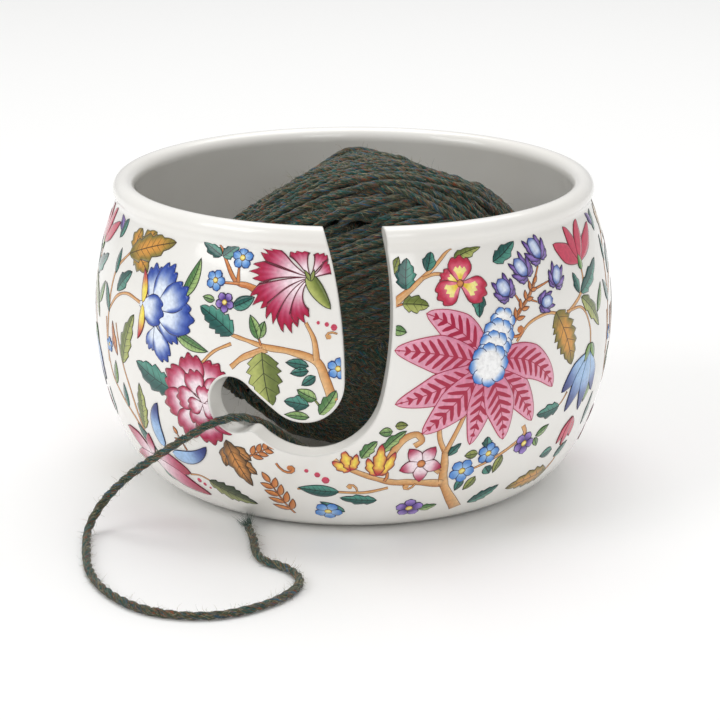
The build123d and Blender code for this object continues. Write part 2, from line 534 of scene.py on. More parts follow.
def makeBall(plan, profile, wool, fibre):
    middle, radius, halfHeight = ballFrame()
    runs = layBall(plan)
    triangles = sum(len(r) for r in runs) * yarn["plies"] * yarn["aroundPly"] * 2
    parts = max(1, math.ceil(triangles / plan["trianglesEach"]))
    for part in range(parts):
        name = "ballWraps%d" % (part + 1)
        mesh = spunMesh(name, runs[part::parts], profile, 30 + part)
        addPiece(name, mesh, plan["body"], wool)
    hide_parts("yarn_ball_wraps")

    bed = bmesh.new()
    bmesh.ops.create_icosphere(bed, subdivisions=5, radius=1)
    grain = bed.verts.layers.float_vector.new("woolGrain")
    for vert in bed.verts:
        out = vert.co.copy()
        ripple = 0.5 * noise.noise(out * 16) + plan["bedDrop"]
        vert[grain] = out * 22
        vert.co = middle + Vector((out.x * (radius - ripple * mm), out.y * (radius - ripple * mm),
                                   out.z * (halfHeight - ripple * mm)))
    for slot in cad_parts["yarn_ball_core"].material_slots:
        slot.material = wool
    mesh = bpy.data.meshes.new("ballUnderWraps")
    bed.to_mesh(mesh)
    bed.free()
    mesh.shade_smooth()
    addPiece("ballUnderWraps", mesh, plan["body"], wool)

    draw = random.Random(41)
    for part in range(plan["fibrePieces"]):
        roots = []
        while len(roots) < plan["fibres"] / plan["fibrePieces"]:
            run = draw.choice(runs)
            i = draw.randrange(1, len(run))
            out = (run[i] - middle).normalized()
            root = run[i] + out * yarn["diameter"] * plan["edge"] * mm
            roots.append((root, out, (run[i] - run[i - 1]).normalized()))
        name = "ballFuzz%d" % (part + 1)
        mesh = fuzzMesh(name, roots, plan["longestFibre"], 42 + part)
        addPiece(name, mesh, plan["body"], fibre)


def glazeMaterial():
    # slip-cast earthenware under a clear glossy glaze: warm white body, glossy coat with a faint ripple
    material, shader = newMaterial("white_glazed_earthenware")
    place = addNode(material, "TexCoord")
    cloud = addNode(material, "TexNoise", {"Vector": place.outputs["Object"], "Scale": 28.0, "Detail": 2.0})
    colours = addNode(material, "ValToRGB", {"Fac": cloud.outputs["Fac"]})
    setRamp(colours.color_ramp, [(0.3, "#efece6"), (0.7, "#f5f3ee")])
    join(material, colours.outputs["Color"], shader.inputs["Base Color"])
    ripple = addNode(material, "TexNoise", {"Vector": place.outputs["Object"], "Scale": 90.0, "Detail": 1.0})
    # glaze is thick and soft on edges
    rounded = addNode(material, "Bevel", {"Radius": 1.1 * mm}, samples=6)
    bump = addNode(material, "Bump", {"Height": ripple.outputs["Fac"], "Strength": 0.06, "Distance": 0.4 * mm,
                                      "Normal": rounded.outputs["Normal"]})
    join(material, rounded.outputs["Normal"], shader.inputs["Normal"])
    join(material, bump.outputs["Normal"], shader.inputs["Coat Normal"])
    shader.inputs["Roughness"].default_value = 0.42
    shader.inputs["Coat Weight"].default_value = 1.0
    shader.inputs["Coat Roughness"].default_value = 0.1
    shader.inputs["Coat IOR"].default_value = 1.5
    return material


def makeBowl():
    glaze = glazeMaterial()
    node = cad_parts["bowl"]
    for slot in node.material_slots:
        slot.material = glaze


# the bowl's outside, as in the CAD model: a heel arc up from the foot, then the belly's arc up to the lip
bowlSide = {
    # middle's radius and height, arc radius, first and last angle
    "heel": (45.53, 27.30, 28.5, -73.34, -25.54),
    "belly": (-9.05, 53.4, 89.0, -25.54, 23.94),
}

slotShape = {
    "plane": 79.95,         # the slot is drawn on an upright plane at this distance and narrows towards aim
    "aim": 45.0,
    "tongue": (-15.0, 52.0, 12.6),
    "turn": 24.2,
    "eye": (-39.2, 42.5, 9.9),
    "shoulder": 37.7,
    "turnOut": 12.0,
    "mouth": (-14.0, 7.0, 115.0),
    "margin": 0.9,          # plain glaze between the print and the slot's edge
    "left": -45,            # degrees round, and the height, between which the slot lies
    "right": 16,
    "bottom": 24,
}


def sideLength(arc):
    return arc[2] * math.radians(arc[4] - arc[3])


def sidePoint(climb):
    # radius and height at a length up the bowl's side from its foot, and the outward direction there
    arc = bowlSide["heel"]
    if climb > sideLength(arc):
        climb -= sideLength(arc)
        arc = bowlSide["belly"]
    angle = math.radians(arc[3]) + climb / arc[2]
    return arc[0] + arc[2] * math.cos(angle), arc[1] + arc[2] * math.sin(angle), angle


def climbTo(height):
    heel, belly = bowlSide["heel"], bowlSide["belly"]
    edge = heel[1] + heel[2] * math.sin(math.radians(heel[4]))
    if height < edge:
        return (math.asin((height - heel[1]) / heel[2]) - math.radians(heel[3])) * heel[2]
    return sideLength(heel) + (math.asin((height - belly[1]) / belly[2]) - math.radians(belly[3])) * belly[2]


def onSide(turn, climb, lift):
    radius, height, angle = sidePoint(climb)
    radius += lift * math.cos(angle)
    return Vector((radius * math.sin(turn), -radius * math.cos(turn), height + lift * math.sin(angle))) * mm


inks = {        # light, dark and line
    "teal": ("#4f9382", "#12524c", "#0a2423"),
    "olive": ("#b0b766", "#66742f", "#2c3212"),
    "green": ("#a3bf78", "#4a7a42", "#1c3118"),
    "autumn": ("#dc9a3e", "#75702c", "#463312"),
    "dry": ("#d08c45", "#5f4426", "#30200f"),
    "tan": ("#efc48e", "#cf8c4c", "#85502a"),
    "bark": ("#e59a5a", "#bd6832", "#5d2f14"),
    "crimson": ("#fdebf1", "#a80a38", "#600624"),
    "rose": ("#eaa3ba", "#dc83a1", "#ab153f"),
    "red": ("#ee8496", "#b8173a", "#6a0a20"),
    "blue": ("#e9f2ff", "#1d3fa0", "#10205c"),
    "sky": ("#a9cdf3", "#4a86d4", "#1b3674"),
    "navy": ("#a4c8f0", "#152470", "#0d1344"),
    "purple": ("#9c7fcc", "#3a1a70", "#1c0b38"),
    "yellow": ("#fdf19a", "#ecc12a", "#8a6414"),
    "white": ("#ffffff", "#2f74d0", "#1b3674"),
    "flame": ("#fbe45a", "#b91434", "#6a0a20"),
    "dark": ("#8d9455", "#2f3d20", "#161c0c"),
}


def hexMixed(a, b, share):
    parts = [(int(a[i:i + 2], 16), int(b[i:i + 2], 16)) for i in (1, 3, 5)]
    return "#" + "".join("%02x" % round(p + (q - p) * share) for p, q in parts)


inkSteps = 32       # shades between an ink's light and its dark
inkTones = {name: [linear(hexMixed(light, dark, k / inkSteps)) for k in range(inkSteps + 1)]
            for name, (light, dark, line) in inks.items()}
lineTones = {name: linear(line) for name, (light, dark, line) in inks.items()}


def eased(low, high, value):
    share = max(0, min(1, (value - low) / (high - low)))
    return share * share * (3 - 2 * share)


# outlines: how far along, and what share of half the width, at u along and v across
bladeShapes = {
    "leaf": lambda u, v: (u, math.sin(math.pi * u**0.82) ** 0.8),
    "bud": lambda u, v: (u, math.sin(math.pi * u**0.7) ** 0.6),
    "round": lambda u, v: (u, math.sqrt(max(1 - (2 * u - 1) ** 2, 0))),
    "petal": lambda u, v: (u, (0.16 + 0.84 * math.sin(math.pi / 2 * min(u / 0.62, 1)) ** 1.3)
                           * math.sqrt(max(1 - (max(u - 0.62, 0) / 0.38) ** 2, 0))),
    "scallop": lambda u, v: (u * (1 + 0.15 * abs(math.cos(1.5 * math.pi * v)) * u**3 - 0.26 * v * v * u),
                             0.16 + 0.84 * math.sin(math.pi / 2 * min(u / 0.75, 1)) ** 1.3),
    "pointed": lambda u, v: (u, (0.22 + 0.78 * math.sin(math.pi / 2 * min(u / 0.55, 1)))
                             * (1 - max(u - 0.55, 0) / 0.45) ** 0.62),
    "fan": lambda u, v: (u * (1 - 0.18 * u**2 * abs((v * 1.5 + 0.5) % 1 - 0.5) * 2 - 0.10 * v * v),
                         0.10 + 0.90 * u**1.5),
}

# share of the dark ink at u along and v across
bladeShades = {
    "half": lambda u, v: 0.5 + 0.5 * max(-1, min(1, 2.4 * v)),
    "tip": lambda u, v: eased(0.1, 0.95, u),
    "end": lambda u, v: eased(0.38, 0.98, u),
    "late": lambda u, v: eased(0.25, 0.98, u),
    "heart": lambda u, v: 1 - eased(0.1, 0.8, u),
    "rim": lambda u, v: eased(0.3, 1, max(abs(v), abs(2 * u - 1))),
    "edge": lambda u, v: eased(0.52, 0.98, max(u, abs(v) * eased(0, 0.5, u))),
    "even": lambda u, v: 0.6,
    "plain": lambda u, v: 0,
}

printLayers = {
    "stem": 0.05,           # each layer's height over the glaze
    "leaf": 0.09,
    "flower": 0.15,
    "step": 0.005,          # every blade lies this much over the last
    "depth": 0.35,
    "cell": 1.1,
    "tooth": 0.34,
    "bottom": 1.5,          # lengths up the bowl's side where the print begins and ends
    "top": 97.6,
    "room": 2.6,
    "middle": 45.0,         # height from which the bowl's side faces up or down
}


class Art:
    # one printed sheet: its mesh, the degrees that its stretch is turned round, and the height being laid
    def __init__(self):
        self.mesh = bmesh.new()
        self.place = self.mesh.verts.layers.float_vector.new("printPlace")
        self.veins = self.mesh.verts.layers.float_vector.new("printVeins")
        self.ink = self.mesh.verts.layers.float_color.new("printInk")
        self.line = self.mesh.verts.layers.float_color.new("printLine")
        self.middle = 0
        self.lift = 0


def stepped(place, heading, reach):
    # the place that many mm away over the glaze, heading in degrees from the right
    climb = climbTo(place[1])
    across = reach * math.cos(math.radians(heading)) / sidePoint(climb)[0]
    return place[0] + math.degrees(across), sidePoint(climb + reach * math.sin(math.radians(heading)))[1]


def underNeck(climb):
    # the print stops softly below the lip
    top, room = printLayers["top"], printLayers["room"]
    if climb > top:
        return top + room * (1 - math.exp((top - climb) / room))
    return max(climb, printLayers["bottom"])


def addBlade(art, start, tip, width, ink, shape="leaf", bend=0, teeth=0, shade="half", veins=(0, 0, 0),
             outlined=True):
    turn = math.radians(art.middle + start[0])
    low, high = climbTo(start[1]), climbTo(tip[1])
    radius = sidePoint((low + high) / 2)[0]
    x, y = math.radians(tip[0] - start[0]) * radius, high - low
    bend = math.radians(bend)
    length = math.hypot(x, y) * (bend / 2 / math.sin(bend / 2) if bend else 1)
    first = math.atan2(y, x) - bend / 2
    outline, tone = bladeShapes[shape], bladeShades[shade]
    cell = printLayers["cell"]
    rows = max(6, round(length / cell), teeth * 4)
    columns = 16 if shape in ("fan", "scallop") else max(2, 2 * round(width / cell / 2))
    made = bmesh.ops.create_grid(art.mesh, x_segments=rows, y_segments=columns, size=1)
    for vert in made["verts"]:
        u, v = max((vert.co.x + 1) / 2, 0), vert.co.y
        along, half = outline(u, v)
        half *= width / 2
        if teeth:
            half *= 1 - printLayers["tooth"] * ((1 - u) * teeth % 1) * min(1, 5 * (1 - u), 6 * u)
        if bend:
            right = (math.sin(first + bend * along) - math.sin(first)) * length / bend
            up = (math.cos(first) - math.cos(first + bend * along)) * length / bend
        else:
            right, up = math.cos(first) * length * along, math.sin(first) * length * along
        side = first + bend * along + math.pi / 2
        right += math.cos(side) * v * half
        climb = underNeck(low + up + math.sin(side) * v * half)
        vert.co = onSide(turn + right / radius, climb, art.lift)
        edge = min(half * (1 - abs(v)), length * (outline(1, v)[0] - along))
        vert[art.place] = (along * length, v * half, edge if outlined else 1)
        vert[art.veins] = veins
        vert[art.ink] = inkTones[ink][round(inkSteps * tone(u, v))]
        vert[art.line] = lineTones[ink]
    art.lift += printLayers["step"]


def addStem(art, points, widths, ink="tan"):
    knots = [(math.radians(art.middle + t), climbTo(h)) for t, h in points]
    knots = [(2 * knots[0][0] - knots[1][0], 2 * knots[0][1] - knots[1][1])] + knots
    knots.append((2 * knots[-1][0] - knots[-2][0], 2 * knots[-1][1] - knots[-2][1]))

    def along(u):
        span = min(int(u * (len(points) - 1)), len(points) - 2)
        f = u * (len(points) - 1) - span
        return [0.5 * (2 * q + (r - p) * f + (2 * p - 5 * q + 4 * r - s) * f**2
                       + (3 * q - p - 3 * r + s) * f**3) for p, q, r, s in zip(*knots[span:span + 4])]

    length = sum(math.hypot((b[0] - a[0]) * 75, b[1] - a[1]) for a, b in zip(knots[1:], knots[2:-1]))
    made = bmesh.ops.create_grid(art.mesh, x_segments=max(6, round(length)), y_segments=2, size=1)
    for vert in made["verts"]:
        u, v = max((vert.co.x + 1) / 2, 0), vert.co.y
        turn, climb = along(u)
        after, before = along(min(u + 0.01, 1)), along(max(u - 0.01, 0))
        radius = sidePoint(climb)[0]
        ahead = Vector(((after[0] - before[0]) * radius, after[1] - before[1])).normalized()
        half = (widths[0] + (widths[1] - widths[0]) * u) / 2
        half *= 1 + 0.25 * noise.noise(Vector((u * length / 4, points[0][0], points[0][1])))
        vert.co = onSide(turn - ahead.y * v * half / radius, underNeck(climb + ahead.x * v * half), art.lift)
        vert[art.place] = (u * length, v * half, half * (1 - abs(v)) + 0.10)
        vert[art.veins] = (0, 0, 0)
        vert[art.ink] = inkTones[ink][round(16 + 16 * v)]
        vert[art.line] = lineTones[ink]
    art.lift += printLayers["step"] / 10


def leaf(art, start, tip, width, ink, bend=0, teeth=0, shade="half"):
    art.lift = printLayers["leaf"]
    addBlade(art, start, tip, width, ink, bend=bend, teeth=teeth, shade=shade,
             veins=(max(width * 0.33, 1.5), 0.8, 0.10))


def lobedLeaf(art, lobes, ink):
    art.lift = printLayers["leaf"]
    for start, tip, width, bend, teeth in lobes:
        addBlade(art, start, tip, width, ink, bend=bend, teeth=teeth, shade="rim", veins=(2.6, 0.9, 0.09))


def sprig(art, start, tip, pairs, length, width, ink="bark"):
    art.lift = printLayers["leaf"]
    addStem(art, [start, tip], (0.7, 0.4), ink)
    heading = math.degrees(math.atan2(tip[1] - start[1], (tip[0] - start[0]) * 1.35))
    for k in range(pairs):
        share = (k + 0.6) / (pairs + 0.3)
        place = [a + (b - a) * share for a, b in zip(start, tip)]
        for side in (-1, 1):
            end = stepped(place, heading + 42 * side, length * (1.1 - 0.35 * share))
            addBlade(art, place, end, width, ink, bend=-14 * side)
    addBlade(art, tip, stepped(tip, heading, length * 0.8), width, ink)


def scroll(art, start, heading, size, side=1, ink="bark", width=1.2):
    art.lift = printLayers["leaf"]
    points = [start]
    for k in range(1, 10):
        points.append(stepped(points[-1], heading, size * 0.36 * (1 - 0.09 * k)))
        heading += side * (8 + 7 * k)
    addStem(art, points, (width * 0.7, width), ink)
    disc(art, points[-1], width * 1.5, ink, "even", False)


def disc(art, middle, wide, ink, shade="rim", outlined=True):
    addBlade(art, stepped(middle, 180, wide / 2), stepped(middle, 0, wide / 2), wide, ink, shape="round",
             shade=shade, outlined=outlined)


def rosette(art, middle, count, start, reach, width, ink, shape="petal", shade="tip", inner=0):
    for i in range(count):
        heading = start + 360 * i / count
        addBlade(art, stepped(middle, heading, inner), stepped(middle, heading, reach), width, ink,
                 shape=shape, shade=shade)


def smallFlower(art, middle, size, ink, start=90):
    art.lift = printLayers["flower"]
    rosette(art, middle, 5, start, size / 2, size * 0.42, ink, shade="heart" if ink == "purple" else "tip")
    disc(art, middle, size * 0.28, "yellow")


def petals(art, start, tips, ink, shape, shade, veins=(0, 0, 0)):
    for turn, height, width, bend in tips:
        addBlade(art, start, (turn, height), width, ink, shape=shape, bend=bend, shade=shade, veins=veins)


def dots(art, spots, ink="red"):
    art.lift = printLayers["leaf"]
    for turn, height, wide in spots:
        disc(art, (turn, height), wide, ink, "even", False)


def carnation(art):
    art.lift = printLayers["flower"]
    tips = [(-6.4, 89.6, 5.0, 10), (-4.4, 85.8, 4.6, 24), (-12.6, 90.6, 6.6, -14), (-20.6, 90.0, 7.0, -14),
            (-23.2, 82.2, 6.4, 16), (-21.6, 73.0, 7.4, 44), (-16.8, 68.2, 6.8, 66), (-12.6, 66.0, 7.0, 88),
            (-9.8, 69.0, 6.0, 92)]
    petals(art, (-9.2, 81.6), tips, "crimson", "fan", "late")
    addBlade(art, (-9.8, 82.6), (-4.6, 73.2), 4.4, "olive", shape="bud", bend=10, shade="half")
    for turn, height in [(-10.6, 83.8), (-8.4, 84.0)]:
        addBlade(art, (-9.0, 80.6), (turn, height), 1.4, "olive")


def peony(art, middle):
    art.lift = printLayers["flower"]
    rosette(art, middle, 8, 14, 13.0, 9.6, "crimson", "scallop", "edge", 2)
    rosette(art, stepped(middle, 20, 1), 5, 40, 8.6, 7.6, "crimson", "scallop", "edge", 1)
    rosette(art, stepped(middle, -30, 1.5), 3, 80, 5.2, 5.6, "crimson", "scallop", "edge")


def blueFlower(art):
    art.lift = printLayers["flower"]
    petals(art, (-46.5, 62), [(-48.2, 55.4, 5.4, -14), (-43, 53.4, 7.0, 16)], "blue", "scallop", "edge")
    petals(art, (-47.5, 66.5), [(-48.6, 78.2, 8.2, 8), (-43.4, 79.2, 8.0, -12), (-40.4, 59.6, 6.4, -20),
                                (-36.8, 66.2, 11.0, 6)], "blue", "scallop", "edge")
    petals(art, (-47.0, 67.5), [(-38.8, 74.2, 8.6, 18)], "blue", "scallop", "edge")
    addBlade(art, (-52.4, 67.2), (-45, 66), 9.6, "blue", shape="scallop", shade="edge")
    for tip, bend in [((-52.6, 77.4), 40), ((-52.6, 56.4), -40)]:
        addBlade(art, (-51.4, 67.4), tip, 3.0, "flame", bend=bend, shade="end")


def starFlower(art):
    # long pointed petals marked like feathers, under a cone of scalloped blue tiers
    art.lift = printLayers["flower"]
    tips = [(15.4, 71.4, 11.0, 44), (8.4, 61.5, 11.5, 16), (8.6, 45.4, 10.0, -14), (14.6, 35.6, 11.0, -14),
            (42.2, 34.0, 9.6, -26), (47.4, 43.2, 10.6, -76), (26.0, 30.2, 8.6, -6), (34.6, 30.0, 10.4, -16)]
    petals(art, (28.6, 55.0), tips, "rose", "pointed", "heart", (2.9, 0.85, 0.78))
    for turn, height, size, count in [(33.0, 66.4, 4.6, 7), (31.6, 62.4, 5.8, 8), (30.4, 59.0, 5.8, 8),
                                      (29.2, 54.6, 6.8, 8)]:
        rosette(art, (turn, height), count, 0, size, size * 0.74, "white", "round", "end", size * 0.26)
        disc(art, (turn, height), size * 1.24, "white", "plain", False)


def pansy(art, middle):
    art.lift = printLayers["flower"]
    for heading, reach, width in [(152, 6.0, 5.6), (84, 7.2, 7.6), (208, 7.4, 7.8), (-26, 8.0, 8.2)]:
        addBlade(art, middle, stepped(middle, heading, reach), width, "red", shape="scallop", shade="edge")
        addBlade(art, middle, stepped(middle, heading, reach * 0.72), width * 0.55, "yellow", shape="fan",
                 shade="heart", outlined=False)
    disc(art, middle, 2.4, "bark")


def blueBud(art, middle, heading, length, width):
    art.lift = printLayers["flower"]
    base = stepped(middle, heading + 180, length * 0.5)
    for side in (-1, 1):
        for out, reach in [(70, 0.55), (44, 0.86), (20, 1.16)]:
            addBlade(art, base, stepped(base, heading + out * side, length * reach), width * 0.7, "purple",
                     bend=-out * 1.1 * side, teeth=3, shade="rim")
    addBlade(art, base, stepped(base, heading, length), width, "blue", shape="round", shade="rim")


def tulip(art, start, tips):
    art.lift = printLayers["flower"]
    for turn, height, width, bend in tips:
        addBlade(art, start, (turn, height), width, "flame", bend=bend, teeth=3, shade="rim")


leftStems = [       # points, widths at both ends, ink
    ([(-68, 44), (-67.5, 54), (-67, 60.5), (-66.5, 68), (-65, 74), (-60, 80)], (1.1, 0.9), "tan"),
    ([(-67, 60.5), (-63, 66), (-58, 68.3), (-52, 67.2)], (0.9, 1.1), "tan"),
    ([(-68.5, 58), (-67, 42), (-63, 35), (-57.5, 28), (-55, 19)], (0.8, 1.3), "tan"),
    ([(-62.5, 58), (-59.5, 46), (-57, 36), (-55, 19)], (0.6, 1.2), "tan"),
    ([(-42.5, 15.8), (-39, 16.4), (-36, 15.2)], (0.7, 0.7), "tan"),
    ([(-20, 76.8), (-23, 78.2), (-26, 79), (-29, 84), (-31.5, 89)], (2.4, 0.7), "bark"),
    ([(-25.5, 79), (-25.7, 83)], (1.2, 0.8), "bark"),
    ([(-25, 78.5), (-29, 78.3)], (1.0, 0.7), "bark"),
    ([(-26, 64), (-22, 62.8), (-18, 61.5), (-13, 60.8), (-7.5, 58.4), (-5.6, 53), (-4, 46.5)], (1.0, 3.2),
     "tan"),
    ([(-26, 54.5), (-23, 58), (-18, 61)], (1.5, 2.2), "tan"),
    ([(-33, 54.5), (-30, 58.5), (-26, 61.4)], (0.8, 1.1), "tan"),
    ([(-9.8, 69.3), (-8, 64.5), (-7.4, 58.6)], (1.0, 1.8), "tan"),
    ([(-19.2, 61.8), (-20, 64.5)], (0.7, 0.5), "bark"),
    ([(-11, 49.5), (-8, 47), (-6, 43)], (0.5, 0.8), "olive"),
    ([(-13, 17.2), (-8, 17.2), (-2, 16.6), (3, 16.6), (8, 18)], (0.6, 1.1), "tan"),
]

leftLeaves = [      # start, tip, width, ink, bend, teeth
    ((-63.2, 67.6), (-57.4, 75.0), 5.6, "teal", -20, 2), ((-65.4, 72), (-64.8, 80), 3.0, "teal", 0, 0),
    ((-68, 82), (-66, 89), 3.6, "teal", 0, 0), ((-68, 84), (-71, 89), 3.6, "purple", 0, 2),
    ((-59.5, 46.5), (-54.4, 63.2), 7.4, "olive", -14, 4), ((-55, 27), (-53.2, 42.6), 5.6, "olive", 20, 4),
    ((-66.6, 60), (-70.5, 68), 3.4, "teal", 10, 0), ((-62, 48), (-64.5, 58), 3.4, "bark", -20, 2),
    ((-65, 38), (-63.5, 46), 3.2, "green", 10, 0), ((-60.5, 32), (-60.6, 40), 3.0, "teal", 0, 0),
    ((-58, 28), (-52.6, 20.5), 4.0, "teal", 20, 2), ((-53.6, 14), (-49.4, 11), 3.4, "teal", 0, 0),
    ((-39.4, 72), (-35.8, 84), 4.2, "green", 34, 0), ((-40.4, 61.8), (-31.4, 58), 3.8, "green", 26, 0),
    ((-30.4, 85.4), (-36, 89.2), 5.0, "teal", -16, 3), ((-30.2, 85.2), (-26.6, 89.6), 5.6, "teal", 20, 3),
    ((-30.6, 73), (-33.8, 73.6), 2.4, "green", 0, 0), ((-26.2, 71.8), (-21.2, 75.4), 4.2, "teal", 10, 0),
    ((-25.6, 64), (-34.2, 70.8), 8.4, "teal", 16, 5), ((-19.8, 63.4), (-22, 70.4), 3.4, "green", 10, 0),
    ((-19.6, 63.8), (-18.6, 69), 3.0, "green", -10, 0), ((-19, 60), (-17.2, 43.6), 12.4, "olive", 10, 5),
    ((-9, 56.8), (-14, 57.6), 3.2, "teal", 14, 0), ((-9, 55.4), (-13, 54.4), 3.0, "teal", 10, 0),
    ((-7.6, 54), (-10.6, 51), 3.0, "teal", 0, 0), ((-7.4, 47), (-11.6, 49.8), 4.0, "green", -14, 0),
    ((-9, 45), (-14.4, 46), 5.2, "teal", 10, 2), ((-7, 42.4), (-3.4, 50), 5.6, "green", 20, 3),
    ((-9, 41.4), (-14.6, 41.6), 3.0, "green", 10, 0), ((-41.4, 44), (-53.4, 49.4), 9.4, "teal", -14, 4),
    ((-36.6, 15.4), (-24.4, 9.6), 7.6, "dark", 12, 6), ((-3.2, 16.8), (-12.8, 17.8), 4.6, "teal", -12, 0),
    ((-2, 9), (-8, 13), 3.4, "teal", 0, 0),
]

rightStems = [
    ([(7.2, 73.4), (11, 77), (15, 81), (19, 85), (22.6, 89.4)], (2.4, 0.9), "tan"),
    ([(7.0, 81), (8.2, 89.2)], (1.3, 0.8), "tan"),
    ([(15, 81), (18, 82), (20.8, 81.4)], (1.2, 1.0), "tan"),
    ([(7.4, 73.4), (10.6, 74.4)], (0.8, 0.6), "bark"),
    ([(36.4, 60), (40, 64.4), (45.4, 66), (49.2, 65)], (1.0, 1.0), "tan"),
    ([(52.4, 64.6), (58.6, 64), (62, 57.6), (62.6, 51)], (1.0, 0.7), "tan"),
    ([(61, 76), (60.6, 71), (58, 67.4), (52, 63.6)], (0.8, 1.3), "tan"),
    ([(34.6, 62.4), (36, 66.6), (40.6, 72), (43, 76)], (1.4, 1.2), "bark"),
    ([(42.6, 75.4), (45, 80)], (0.9, 0.6), "bark"),
    ([(38.4, 70), (36.8, 73.6), (35.4, 74)], (0.8, 0.5), "bark"),
    ([(41.4, 73), (41.2, 77)], (0.9, 0.5), "bark"), ([(42, 73.6), (47.6, 75)], (0.9, 0.5), "bark"),
    ([(40.4, 71.4), (43, 70)], (0.9, 0.5), "bark"),
    ([(53.6, 39.6), (52, 37), (50.6, 35.8)], (0.7, 0.5), "tan"),
    ([(55.6, 12.8), (57.6, 16), (58.4, 21)], (0.9, 0.6), "tan"),
    ([(40, 33), (40.8, 29.8), (36.4, 26), (32, 23.4), (28.4, 21.8)], (1.5, 0.8), "tan"),
    ([(27, 7.6), (23, 14), (21, 19), (20.6, 25), (20.3, 30)], (3.8, 2.0), "tan"),
    ([(20.4, 28.6), (18.8, 33.5), (18.3, 40)], (1.9, 1.2), "tan"),
    ([(20.4, 28.6), (22, 33.5), (24, 40)], (1.8, 1.2), "tan"),
    ([(21, 18), (14, 19.4), (8.6, 20), (3, 22.5), (-2.4, 26), (-4, 28)], (2.6, 1.4), "tan"),
    ([(16.4, 25.4), (19.8, 22)], (1.4, 1.6), "tan"),
    ([(6.8, 24.5), (8.4, 29.5), (10.6, 34), (13.4, 35.6), (14.8, 33.4), (13.2, 31.8)], (2.2, 1.9), "tan"),
]

rightLeaves = [
    ((11.4, 78.2), (12.0, 86.8), 6.6, "teal", -16, 4), ((16.2, 82.8), (17.6, 88.6), 4.4, "teal", 14, 2),
    ((22.8, 85.6), (30, 88.4), 5.0, "olive", -10, 3), ((8.4, 82.6), (10.2, 87.4), 2.8, "olive", 0, 0),
    ((10.4, 74.4), (16.2, 73.4), 6.4, "olive", -16, 3), ((8, 67.6), (11.2, 66.4), 3.2, "green", 0, 0),
    ((7.4, 71), (8.4, 67.8), 1.8, "teal", 0, 0), ((32.4, 83.4), (39.4, 88.4), 6.0, "teal", 20, 3),
    ((28, 76), (27.4, 68.6), 4.8, "teal", 10, 2), ((58.8, 68.4), (69.4, 75.8), 6.4, "teal", 20, 3),
    ((58.2, 68.4), (56.6, 75), 3.8, "teal", 10, 2), ((58.8, 67), (67.4, 55.6), 6.4, "olive", -24, 3),
    ((51.2, 36), (43.6, 35.4), 5.8, "teal", -14, 3), ((53.8, 20.6), (49.2, 19.6), 3.8, "teal", 10, 0),
    ((44.8, 28), (48.8, 30.8), 2.8, "green", 10, 0), ((44.6, 27.6), (46.2, 24.4), 2.4, "green", 0, 0),
    ((30.6, 28.4), (30.4, 32), 3.8, "teal", 0, 2), ((28.6, 26.8), (25.2, 26.6), 3.2, "olive", 10, 0),
    ((25.8, 19), (24.6, 14.6), 3.0, "teal", -10, 0), ((35.6, 24.6), (34.2, 18.6), 3.2, "olive", 14, 0),
    ((31.4, 21.6), (33.2, 18.8), 3.6, "teal", 0, 0), ((29.4, 18.8), (26.8, 14.4), 3.2, "olive", -14, 0),
    ((21.2, 27.4), (24, 31.2), 3.0, "teal", -14, 2), ((30, 8.8), (37.6, 13.6), 5.2, "teal", 10, 4),
    ((1.8, 28.4), (5.2, 34), 4.6, "green", -24, 3), ((6, 30), (11.4, 37), 4.2, "green", -24, 3),
    ((8.8, 38.6), (11.6, 38.8), 2.8, "olive", 0, 0), ((8.4, 37), (5.4, 36.6), 3.2, "green", 0, 0),
    ((16.4, 9), (21, 10.2), 3.8, "green", 14, 2), ((5.6, 13.6), (-3.2, 14.6), 5.0, "teal", -10, 3),
    ((56.4, 17), (61, 21), 3.6, "teal", 10, 0), ((62.6, 33), (66.5, 42), 3.4, "green", -10, 0),
    ((67, 24), (69, 34), 4.0, "teal", 10, 2), ((66.6, 60), (70.6, 68), 3.4, "green", 10, 0),
]


def drawStretch(art, stems, leaves):
    art.lift = printLayers["stem"]
    for points, widths, ink in stems:
        addStem(art, points, widths, ink)
    for start, tip, width, ink, bend, teeth in leaves:
        leaf(art, start, tip, width, ink, bend, teeth)


